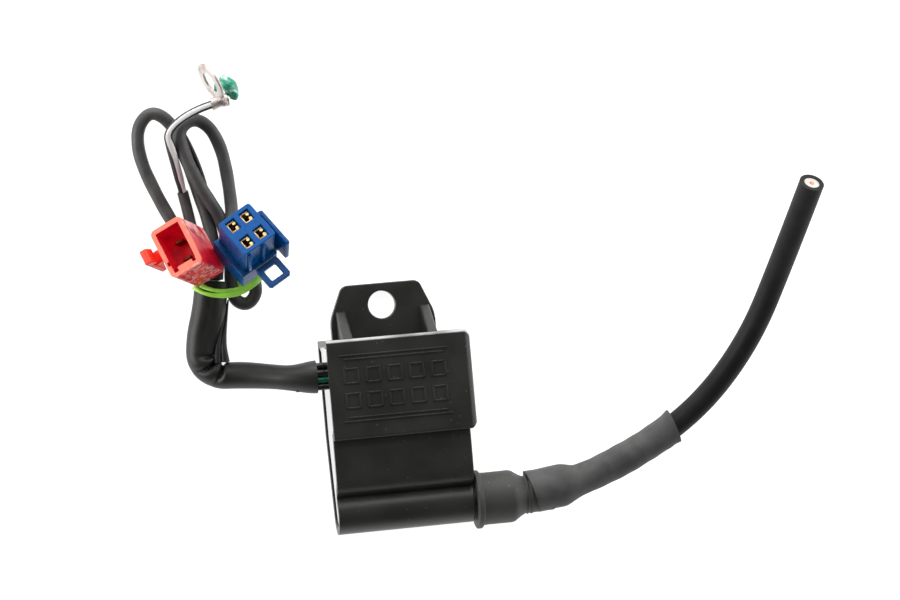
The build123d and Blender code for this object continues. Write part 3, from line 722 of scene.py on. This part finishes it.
def case_shell():
    bm = bmesh.new()
    painted_edge_highlight = bm.verts.layers.float.new("rim")
    outer = side_face(bm, outer_outline(), CASE_LEFT)
    push(bm, [outer], (LOWER_RIGHT - CASE_LEFT, 0, 0))
    inner = side_face(bm, inner_outline(), CASE_LEFT)
    inner_edges = inner.edges[:]
    push(bm, [inner], (LOWER_RIGHT - CASE_LEFT - WALL, 0, 0))
    flat = [f for f in bm.faces if all(abs(v.co.x - CASE_LEFT) < 1e-3 for v in f.verts)]
    outer_edges = [e for f in flat for e in f.edges if e not in inner_edges]
    bmesh.ops.delete(bm, geom=flat, context="FACES_ONLY")
    bmesh.ops.triangle_fill(bm, edges=outer_edges + inner_edges, use_beauty=True, normal=(-1, 0, 0))
    # the box end stands on past the coil chamber, with a rounded rim
    end = next(f for f in bm.faces if all(abs(v.co.x - LOWER_RIGHT) < 1e-3 for v in f.verts))
    cut = [v for v in end.verts if abs(v.co.y - BOX_BOTTOM) < 1e-3 and v.co.z < 19.5]
    bmesh.utils.face_split(end, cut[0], cut[1])
    box_end = [f for f in bm.faces if abs(f.calc_center_median().x - LOWER_RIGHT) < 1e-3
               and f.calc_center_median().y > BOX_BOTTOM]
    reach, inset, steps = BOX_RIGHT - LOWER_RIGHT, 2.6, 7
    centre = Vector((0, (BOX_TOP + BOX_BOTTOM) / 2, BOX_DEPTH / 2))
    width, height = BOX_TOP - BOX_BOTTOM, BOX_DEPTH
    before_x, before_in = 0.0, 0.0
    for i in range(1, steps + 1):
        turn = pi / 2 * i / steps
        x, drawn_in = reach * sin(turn), inset * (1 - cos(turn))
        box_end = push(bm, box_end, (x - before_x, 0, 0))
        verts = each_once(v for f in box_end for v in f.verts)
        factor = [(span - 2 * drawn_in) / (span - 2 * before_in) for span in (width, height)]
        bmesh.ops.scale(bm, vec=(1, *factor), verts=verts, space=Matrix.Translation(-centre))
        before_x, before_in = x, drawn_in
    # Painted highlight: the rounded top front edge is marked in the rim attribute, for a pale line that
    # stands in for the light it catches.
    rounded = set(soften(bm, front_edge(bm, BOX_TOP), 0.9, 4)["faces"])
    for v in {v for f in rounded for v in f.verts}:
        v[painted_edge_highlight] = all(f in rounded for f in v.link_faces)
    soften(bm, front_edge(bm, BOX_BOTTOM), 0.9, 4)
    bm.normal_update()
    chamber_end = [e for e in bm.edges if all(abs(v.co.x - LOWER_RIGHT) < 1e-3 and v.co.y < BOX_BOTTOM + 0.05
                                              for v in e.verts)
                   and not all(abs(v.co.y - BOX_BOTTOM) < 0.05 for v in e.verts)]
    soften(bm, chamber_end, 0.5, 3)
    return bm


def add_tab(bm):
    """Mounting tab with its hole, and the two gussets that brace it."""
    corners = [(-15.2, BOX_TOP - 1), (-15.2, -3.3), (-11.2, 6.3), (11.2, 6.3), (15.2, -3.3),
               (15.2, BOX_TOP - 1)]
    plate = sheet_face(bm, [(x, y, 0) for x, y in corners])
    upper = [v for v in plate.verts if v.co.y > -4]
    bmesh.ops.bevel(bm, geom=upper, offset=1.6, offset_type="OFFSET", segments=6, profile=0.5,
                    affect="VERTICES", material=-1)
    plate = next(f for f in bm.faces if all(abs(v.co.z) < 1e-4 and v.co.y > BOX_TOP - 1.1 for v in f.verts)
                 and len(f.verts) > 12)
    rim = plate.edges[:]
    bmesh.ops.delete(bm, geom=[plate], context="FACES_ONLY")
    hole = bmesh.ops.create_circle(bm, segments=56, radius=4.0)["verts"]
    hole_edges = each_once(e for v in hole for e in v.link_edges)
    faces = bmesh.ops.bridge_loops(bm, edges=rim + hole_edges)["faces"]
    push(bm, faces, (0, 0, 3.0))
    rims = [e for e in bm.edges if e.is_manifold and e.calc_face_angle(0) > 1.2
            and all(v.co.y > BOX_TOP - 0.5 and v.co.z < 3.1 for v in e.verts)
            and abs(e.verts[0].co.z - e.verts[1].co.z) < 0.1]
    soften(bm, rims, 0.35, 3)
    for side in (-1, 1):
        x0 = side * 12.2 - 1.5
        rib = sheet_face(bm, [(x0, BOX_TOP - 0.9, 0.2), (x0, BOX_TOP - 0.9, 15.0), (x0, BOX_TOP + 0.4, 15.0),
                              (x0, BOX_TOP + 8.0, 3.6), (x0, BOX_TOP + 8.0, 0.2)])
        before = set(bm.verts) - set(rib.verts)
        push(bm, [rib], (3.0, 0, 0))
        fresh = [v for v in bm.verts if v not in before]
        slope = [e for e in each_once(e for v in fresh for e in v.link_edges)
                 if all(v.co.z > 3.0 and v.co.y > BOX_TOP for v in e.verts)]
        soften(bm, slope, 0.9, 4)


def add_nozzle(bm):
    turned = local_frame((0, *TOWER), (0, 1, 0), (1, 0, 0))
    cylinder(bm, 5.2, LOWER_RIGHT - WALL, LOWER_RIGHT + 7.0, turned, 48)


def raised_panel():
    """Plain bars and open frames, raised a little off the front of the box."""
    bm = bmesh.new()
    middle = (CASE_LEFT + BOX_RIGHT) / 2 - 1.9
    low, high = BOX_DEPTH - 0.3, BOX_DEPTH + 0.3
    for y, half in ((-13.6, 15.5), (-14.7, 14.2), (-32.2, 15.5), (-31.1, 14.2)):
        block(bm, (middle - half, y - 0.25, low), (middle + half, y + 0.25, high), 0.16, 2)
    for y in (-19.4, -26.4):
        for i in range(5):
            x = middle + (i - 2) * 6.2
            for side in (-1, 1):
                post, rail = x + side * 1.9, y + side * 2.0
                block(bm, (post - 0.35, y - 2.3, low), (post + 0.35, y + 2.3, high), 0.2, 2)
                block(bm, (x - 2.2, rail - 0.3, low), (x + 2.2, rail + 0.3, high), 0.2, 2)
    return bm


shell = case_shell()
add_tab(shell)
add_nozzle(shell)
finish_piece(shell, "case_shell", case_paint, stands_for=["case"])
finish_piece(raised_panel(), "raised_panel", case_paint)


def resin_fill():
    """The poured resin's face, climbing a little where it meets the case wall."""
    bm = bmesh.new()
    push(bm, [side_face(bm, inner_outline(), CASE_LEFT + 0.1)], (2.0, 0, 0))
    front = [f for f in bm.faces if f.calc_center_median().x < CASE_LEFT + 0.2]
    for thickness, sink in ((0.2, 0.12), (0.4, 0.08), (0.6, 0.04)):
        bmesh.ops.inset_region(bm, faces=front, thickness=thickness, use_even_offset=True, use_boundary=True)
        bmesh.ops.translate(bm, vec=(sink, 0, 0), verts=each_once(v for f in front for v in f.verts))
    return bm


finish_piece(resin_fill(), "resin_face", resin_paint, sharp=50)


# ---------------------------------------------------------------- wires at the open end
def loom_ends():
    """The wires between the sleeve's mouth and the resin."""
    places = [(i, side) for side in (1, -1) for i in range(4 if side == 1 else 3)]
    black = bmesh.new()
    green = bmesh.new()
    for i, side in places:
        y = -18.9 + (i - (1.5 if side == 1 else 1.0)) * 1.95
        z = 13.2 + side * 0.88
        bend = 0.35 * sin(2.1 * i + side)
        middle = local_frame((0, y, z), (0, 1, 0), (1, 0, bend * 0.06))
        bm = green if (i, side) == (1, 1) else black
        cylinder(bm, 0.97, -28.0, -16.5, middle, 24)
    return black, green


black_bm, green_bm = loom_ends()
finish_piece(black_bm, "loom_wires", black_wire_paint, stands_for=["lead_wires"])
finish_piece(green_bm, "loom_green_wire", green_wire_paint, stands_for=["green_wire"])


# ---------------------------------------------------------------- loom
def main_sleeve_radius(s, angle, length):
    """Loose vinyl sleeve: flared at the case, folded at the elbow, pressed wide under the tie."""
    r = 0.00352 + 0.00118 * (1 - ease(s, 0.0, 0.013)) ** 2 + 0.0003 * ease(s, 0.012, 0.024)
    up = ease(s, 0.030, 0.050)
    r += up * (0.00100 * abs(sin(angle)) - 0.0003 * abs(cos(angle)))
    fold = ease(s, 0.0250, 0.0275) * (1 - ease(s, 0.0345, 0.0380))
    crease = abs(sin((s - 0.0288) * 700 + 0.9 * sin(angle + 0.6)))
    facing = (0.5 + 0.5 * cos(angle - 0.7)) ** 2
    r -= fold * facing * 0.0022 * (1 - crease) ** 1.5
    r += fold * facing * 0.00030
    r += 0.00004 * sin(s * 260 + angle * 2)
    return r


def branch_radius(s, angle, length):
    return 0.00185 + 0.00004 * sin(s * 310 + angle) + 0.00003 * sin(s * 730 - 2 * angle)


main_line = path_of("main_line", main_route)
red_line = path_of("red_line", red_route)
blue_line = path_of("blue_line", blue_route)
ground_line = path_of("ground_line", ground_route)
lead_line = path_of("lead_line", lead_route, 26)
tie_line = path_of("tie_line", tie_route)
tail_line = path_of("tail_line", tail_route)

main_sleeve = finish_cord(
    tube(main_line, main_sleeve_radius, 56, 0.0005, (0.006, 0.0)),
    "main_loom_sleeve", sleeve_paint, stands_for=["main_sleeve"])


def flap_radius(s, angle, length):
    """A flat tongue, broad where it leaves the elbow and narrow under the tie."""
    wide = 0.0022 * (1 - s / length) ** 1.2 + 0.00022
    return wide * (0.3 + 0.7 * abs(sin(angle)))


sleeve_flap = finish_cord(
    tube(path_of("flap_line", flap_route), flap_radius, 28),
    "loom_sleeve_flap", sleeve_paint)
red_branch = finish_cord(
    tube(red_line, branch_radius, 26, 0.0004, (0.0, 0.003)),
    "red_branch", branch_paint, stands_for=["red_branch_sleeve"])
blue_branch = finish_cord(
    tube(blue_line, branch_radius, 26, 0.0004, (0.0, 0.003)),
    "blue_branch", branch_paint, stands_for=["blue_branch_sleeve"])


back_wire = finish_cord(
    tube(path_of("back_wire_line", back_wire_route), 0.00085, 18),
    "folded_back_wire", wire_tracer_paint)


def tracer_turn(s):
    """The white tracer starts on the right of the ground lead and winds over to its left."""
    return 0.55 - 0.95 * ease(s, 0.036, 0.047)


def ground_lead_radius(s, angle, length):
    """A little fuller between its sleeve and its fold."""
    return 0.00115 + 0.00018 * ease(s, 0.027, 0.031) * (1 - ease(s, 0.040, 0.046))


ground_lead = finish_cord(
    tube(ground_line, ground_lead_radius, 32, twist=tracer_turn),
    "ground_lead", wire_tracer_paint, stands_for=["ground_wire"])
ground_cover = finish_cord(
    tube(portion(ground_line, 0.0, 0.0262), 0.0016, 24, 0.0003, (0.0, 0.004)),
    "ground_lead_sleeve", branch_paint, stands_for=["ground_sleeve"])


# ---------------------------------------------------------------- high-tension lead
def shrink_radius(s, angle, length):
    """Wide over the boot's neck, then down onto the lead, with a small lip where it was cut."""
    over_neck = 0.0062 - 0.00165 * ease(s, 0.0085, 0.0150)
    lip = 0.00035 * ease(s, length - 0.0022, length)
    return over_neck + lip + 0.00005 * sin(s * 400 + 2 * angle) + 0.00005 * sin(s * 1100 - angle)


shrink_line = portion(lead_line, 0.0194, 0.0660)
ht_jacket = finish_cord(
    tube(lead_line, 0.0035, 40, 0.0013, (0.0, 0.003)),
    "lead_jacket", jacket_paint, stands_for=["ht_jacket"])
ht_white = finish_cord(
    tube(portion(lead_line, 0.03, length_of(lead_line) - 0.0002), 0.0022, 28),
    "lead_insulation", white_paint, stands_for=["ht_insulation"])
ht_core = finish_cord(
    tube(portion(lead_line, 0.03, length_of(lead_line) - 0.00005), 0.00062, 14),
    "lead_conductor", copper_paint, stands_for=["ht_conductor"])
ht_shrink = finish_cord(
    tube(shrink_line, shrink_radius, 44, 0.0006, (0.001, 0.003), (0.0011, -0.0012)),
    "shrink_sleeve", shrink_paint, stands_for=["ht_shrink_sleeve"])


def rubber_boot():
    """Flanged boot turned about the nozzle's axis, its neck lightly ribbed."""
    bm = bmesh.new()
    outline = [(20.6, 5.3), (20.6, 8.0), (20.85, 8.4), (22.0, 8.4), (22.35, 8.05), (22.5, 7.6), (24.0, 7.5),
               (30.9, 7.55), (31.8, 7.35), (32.6, 6.8), (33.9, 5.95), (34.6, 5.6), (35.2, 5.35), (35.7, 5.6),
               (36.2, 5.35), (36.8, 5.6), (37.4, 5.35), (40.5, 5.2), (43.5, 5.1), (43.5, 3.6)]
    places = [(x, TOWER[0], TOWER[1] + r) for x, r in outline]
    turned_bar(bm, places, (0, *TOWER), (1, 0, 0), 64)
    return bm


finish_piece(rubber_boot(), "rubber_boot", rubber_paint, stands_for=["ht_boot"], sharp=45)


# ---------------------------------------------------------------- connectors
MATING_FACE = 18
BLUE_OPENINGS = [(sx * 3.1, sy * 2.35) for sx in (-1, 1) for sy in (-1, 1)]


def upright_edges(bm):
    return [e for e in edges_between(bm.verts) if abs(e.verts[0].co.z - e.verts[1].co.z) > 5]


def mouth_edges(bm):
    """The sharp edges round every opening in a housing's mating face."""
    bm.normal_update()
    return [e for e in bm.edges if e.is_manifold and e.calc_face_angle(0) > 1.0
            and all(abs(v.co.z - MATING_FACE) < 1e-3 for v in e.verts)]


def mark_rim(bm, band, inside=None):
    """Marks how near each point is to the mating rim, for the painted light that makes the nylon paler
    there.
    """
    layer = bm.verts.layers.float.new("rim")
    top = MATING_FACE
    for level in (top - band, top - band * 0.55, top - band * 0.15):
        cut_across(bm, (0, 0, level), (0, 0, 1))
    for v in bm.verts:
        v[layer] = ease(v.co.z, top - band, top - band * 0.15)
        if inside and inside[0] < v.co.x < inside[1] and abs(v.co.y) < inside[2] and v.co.z < top - 0.2:
            v[layer] = 0.0


def red_shell():
    bm = bmesh.new()
    block(bm, (-7.5, -5.0, 0), (7.5, 5.0, MATING_FACE))
    soften(bm, upright_edges(bm), 1.5, 5)
    pocket(bm, (-6.1, -3.7), (5.2, 3.7), MATING_FACE, 9)
    for low, high in (((5.2, -3.6), (6.4, -2.2)), ((5.2, 2.4), (6.2, 3.5)), ((2.6, -4.4), (4.0, -3.7))):
        pocket(bm, low, high, MATING_FACE, 8.5)
    soften(bm, mouth_edges(bm), 0.32, 3)
    mark_rim(bm, 1.6, (-6.2, 6.5, 4.5))
    return bm


def red_blade_pair():
    bm = bmesh.new()
    for x in (-2.7, 2.7):
        block(bm, (x - 0.4, -1.4, 7.0), (x + 0.4, 1.4, 12.6), 0.35, 4)
        cylinder(bm, 1.2, 1.0, 8.0, Matrix.Translation((x, 0, 0)), 24)
    return bm


def red_lever():
    """Latch lever on its web: a wedge head at the mating end and a thumb pad behind."""
    bm = bmesh.new()
    block(bm, (-4.3, -10.1, 5.0), (0.1, -8.5, 15.6), 0.35, 3)
    head = block(bm, (-4.3, -10.1, 15.0), (0.1, -7.2, 18.0))
    for v in head:
        if v.co.z > 17 and v.co.y > -8:
            v.co.y -= 0.9
    soften(bm, edges_between(head), 0.3, 3)
    block(bm, (-4.0, -8.9, 10.4), (-0.2, -4.9, 12.6), 0.4, 3)
    block(bm, (-4.0, -5.9, 8.6), (-0.2, -5.25, 14.4), 0.25, 3)
    mark_rim(bm, 3.0)
    return bm


finish_piece(red_shell(), "red_shroud", red_paint, stands_for=["red_housing"], at=RED,
             sharp=40)
finish_piece(red_blade_pair(), "red_blade_pair", dark_blade_brass_paint, stands_for=["red_blades"],
             at=RED)
finish_piece(red_lever(), "red_latch_lever", latch_paint, body="red_latch",
             stands_for=["red_latch"], at=RED)


def blue_shell():
    bm = bmesh.new()
    block(bm, (-6.05, -5.45, 0), (6.05, 5.45, MATING_FACE))
    soften(bm, upright_edges(bm), 0.8, 4)
    for x, y in BLUE_OPENINGS:
        pocket(bm, (x - 1.75, y - 1.5), (x + 1.75, y + 1.5), MATING_FACE, 12)
    soften(bm, mouth_edges(bm), 0.25, 3)
    # rear flange, and the guard wing on its foot
    block(bm, (-6.6, -6.95, 0.1), (7.05, 5.5, 7.2), 0.5, 3)
    block(bm, (-3.8, 6.85, 3.6), (8.9, 8.35, 13.5), 0.55, 4)
    block(bm, (-3.9, 5.2, 3.6), (-2.4, 8.0, 13.5), 0.4, 3)
    block(bm, (-3.6, 5.0, 3.7), (5.6, 8.0, 5.6), 0.3, 3)
    block(bm, (5.9, -4.6, 3.0), (6.9, -3.4, 16.4), 0.3, 3)
    block(bm, (5.9, 0.2, 3.0), (6.9, 1.2, 16.8), 0.3, 3)
    mark_rim(bm, 2.5)
    return bm


def blue_boxes():
    """Box receptacles, one in each opening, with their spring tongues."""
    bm = bmesh.new()
    for x, y in BLUE_OPENINGS:
        for side in (-1, 1):
            wall = x + side * 1.35
            block(bm, (wall - 0.17, y - 1.3, 9.0), (wall + 0.17, y + 1.3, 17.2), 0.1, 2)
        block(bm, (x - 1.5, y - 1.35, 9.0), (x + 1.5, y - 1.05, 17.2), 0.1, 2)
        for curl in (-0.78, 0.78):
            cylinder(bm, 0.5, 9.2, 17.0, Matrix.Translation((x + curl, y + 0.8, 0)), 20)
        cylinder(bm, 1.1, 1.0, 10.0, Matrix.Translation((x, y, 0)), 20)
    return bm


def blue_loop():
    """Latch loop: a frame round a see-through window, on a tapering root."""
    bm = bmesh.new()
    outer = [(7.3, -2.4), (8.2, -2.7), (13.6, -2.7), (14.2, -2.1), (14.2, 4.1), (13.6, 4.7), (8.2, 4.7),
             (7.3, 4.4)]
    plate = sheet_face(bm, [(x, y, 5.0) for x, y in outer])
    rim = plate.edges[:]
    bmesh.ops.delete(bm, geom=[plate], context="FACES_ONLY")
    window = sheet_face(bm, [(x, y, 5.0) for x, y in ((8.9, -1.1), (12.8, -1.1), (12.8, 3.1), (8.9, 3.1))])
    corners = window.verts[:]
    bmesh.ops.bevel(bm, geom=corners, offset=0.4, offset_type="OFFSET", segments=2, profile=0.5,
                    affect="VERTICES", material=-1)
    window = next(f for f in bm.faces)
    inner = window.edges[:]
    bmesh.ops.delete(bm, geom=[window], context="FACES_ONLY")
    faces = bmesh.ops.bridge_loops(bm, edges=rim + inner)["faces"]
    push(bm, faces, (0, 0, 1.6))
    bm.normal_update()
    edges = [e for e in bm.edges if e.is_manifold and e.calc_face_angle(0) > 1.0
             and abs(e.verts[0].co.z - e.verts[1].co.z) < 0.1]
    soften(bm, edges, 0.3, 3)
    mark_rim(bm, 2.5)
    return bm


finish_piece(blue_shell(), "blue_shell", blue_paint, stands_for=["blue_housing"], at=BLUE,
             sharp=40)
finish_piece(blue_boxes(), "blue_box_receptacles", brass_paint, stands_for=["blue_receptacles"],
             at=BLUE)
finish_piece(blue_loop(), "blue_latch_loop", blue_paint, body="blue_latch",
             stands_for=["blue_latch"], at=BLUE)

# ---------------------------------------------------------------- ring terminal, tail and tie
RING = local_frame((-44.3, 66.7, 13.0), (0.474, -0.876, 0.071), (-0.866, -0.451, 0.202))
BARREL = local_frame((-44.8, 60.4, 12.2), (0, 0, 1), (0.97, 0.24, 0.0))


def terminal():
    bm = bmesh.new()
    outer = bmesh.ops.create_circle(bm, segments=56, radius=6.0)["verts"]
    inner = bmesh.ops.create_circle(bm, segments=56, radius=3.2)["verts"]
    edges = each_once(e for v in outer + inner for e in v.link_edges)
    faces = bmesh.ops.bridge_loops(bm, edges=edges)["faces"]
    push(bm, faces, (0, 0, 0.8))
    bmesh.ops.translate(bm, vec=(0, 0, -0.4), verts=bm.verts)
    bm.normal_update()
    rims = [e for e in bm.edges if e.is_manifold and e.calc_face_angle(0) > 1.0]
    soften(bm, rims, 0.2, 3)
    block(bm, (5.0, -1.9, -0.4), (7.8, 1.9, 0.4), 0.25, 3)
    bmesh.ops.transform(bm, matrix=RING, verts=bm.verts)
    outline = [(0.0, 1.3), (0.15, 1.95), (1.4, 1.75), (2.4, 1.5), (3.4, 1.75), (4.4, 1.95), (5.0, 1.9),
               (5.2, 1.3)]
    barrel = turned_bar(bm, [(r, 0, z) for z, r in outline], (0, 0, 0), (0, 0, 1), 40)
    bmesh.ops.transform(bm, matrix=BARREL, verts=barrel)
    return bm


ring = finish_piece(terminal(), "ring_terminal_stamping", tin_paint, stands_for=["ring_terminal"])


def tail_radius(s, angle, length):
    """Crushed green cover: round ends, fat middle, a few flats."""
    along = min(1.0, max(0.0, s / length))
    body = 0.0021 * max(0.02, sin(pi * (0.07 + 0.86 * along))) ** 0.6
    return body * (1 + 0.08 * sin(3 * angle + s * 500) + 0.07 * sin(s * 1500 + angle))


tail = finish_cord(
    tube(tail_line, tail_radius, 32),
    "green_tail", tail_paint, stands_for=["ground_tail"])


def strand_bundle():
    """Bare strands that come out of the crushed cover towards the ring."""
    bm = bmesh.new()
    for i in range(7):
        lean = local_frame((-42.3 + 0.3 * cos(i), 66.0 + 0.3 * sin(i), 10.6), (1, 0, 0.1 * i),
                           (-0.48 + 0.05 * sin(2 * i), 0.86, 0.04 * cos(3 * i)))
        cylinder(bm, 0.32, -1.9, 1.9, lean, 12, 0.2)
    return bm


strands = finish_piece(strand_bundle(), "bare_strands", brass_paint)


def cover_shred():
    """Scrap of the green cover that shows through the ring."""
    bm = bmesh.new()
    verts = bmesh.ops.create_icosphere(bm, subdivisions=4, radius=1.0)["verts"]
    for v in verts:
        v.co *= 1 + 0.12 * sin(3 * v.co.x + 2 * v.co.y) * cos(4 * v.co.z)
    bmesh.ops.scale(bm, vec=(0.75, 1.5, 0.75), verts=verts)
    bmesh.ops.translate(bm, vec=(-42.7, 65.5, 10.4), verts=verts)
    return bm


shred = finish_piece(cover_shred(), "green_cover_shred", tail_paint)


def tie_radius(s, angle, length):
    return 0.00066 + 0.00013 * sin(angle * 2 + s * 260)


tie = finish_cord(
    tube(tie_line, tie_radius, 18),
    "bundle_tie", tie_paint, stands_for=["harness_tie"])


# ---------------------------------------------------------------- lengths of the cords, worked out and not kept
length_of(main_line)
length_of(red_line)
length_of(blue_line)
length_of(ground_line)
length_of(lead_line)


# ---------------------------------------------------------------- floor, light and camera
def studio():
    floor_mesh = bpy.data.meshes.new("floor")
    bm = bmesh.new()
    bmesh.ops.create_grid(bm, x_segments=1, y_segments=1, size=3.0)
    bm.to_mesh(floor_mesh)
    bm.free()
    floor = into_scene("floor", floor_mesh)
    floor.location = (0, 0, -0.0002)
    paint = Paint("pale_floor", (0.55, 0.55, 0.55), 0.9, emission_strength=0.92)
    paint.set("Emission Color", (1, 1, 1))
    floor_mesh.materials.append(paint.material)

    world = bpy.data.worlds.new("studio")
    bpy.context.scene.world = world
    world.use_nodes = True
    sky = Paint.__new__(Paint)
    sky.tree = world.node_tree
    height = sky.add("TexCoord", out="Generated").part(2)
    background = world.node_tree.nodes["Background"]
    sky.put(background.inputs["Strength"], (1 - height.step(0.0, 0.5)) * 0.85 + 0.13)
    background.inputs["Color"].default_value = (1, 1, 1, 1)

    def softbox(name, place, target, size, power):
        light = bpy.data.lights.new(name, "AREA")
        light.shape = "RECTANGLE"
        light.size, light.size_y = size
        light.energy = power
        holder = into_scene(name, light)
        holder.location = place
        holder.rotation_euler = (Vector(target) - Vector(place)).to_track_quat("-Z", "Y").to_euler()

    softbox("left_softbox", (-0.85, 0.10, 0.16), (0, -0.02, 0), (0.5, 0.9), 6.5)
    softbox("top_softbox", (0.0, 0.90, 0.34), (0, 0, 0), (1.3, 0.35), 7)
    softbox("right_softbox", (0.85, 0.15, 0.30), (0, 0, 0), (0.4, 0.9), 3.5)
    softbox("high_softbox", (0.0, 0.62, 0.75), (0, 0, 0), (0.9, 0.2), 2.5)

    camera = bpy.data.cameras.new("camera")
    camera.sensor_width = 36
    camera.lens = 104
    camera.clip_start = 0.01
    holder = into_scene("camera", camera)
    right = Vector((0.98336, -0.08816, 0.15887))
    up = Vector((0.08613, 0.99609, 0.01965))
    back = Vector((-0.15998, -0.00564, 0.98710))
    turn = Matrix((right, up, back)).transposed().to_4x4()
    holder.matrix_world = Matrix.Translation((-0.1007, -0.0047, 0.7474)) @ turn
    bpy.context.scene.camera = holder
    bpy.context.scene.view_settings.view_transform = "Standard"


studio()
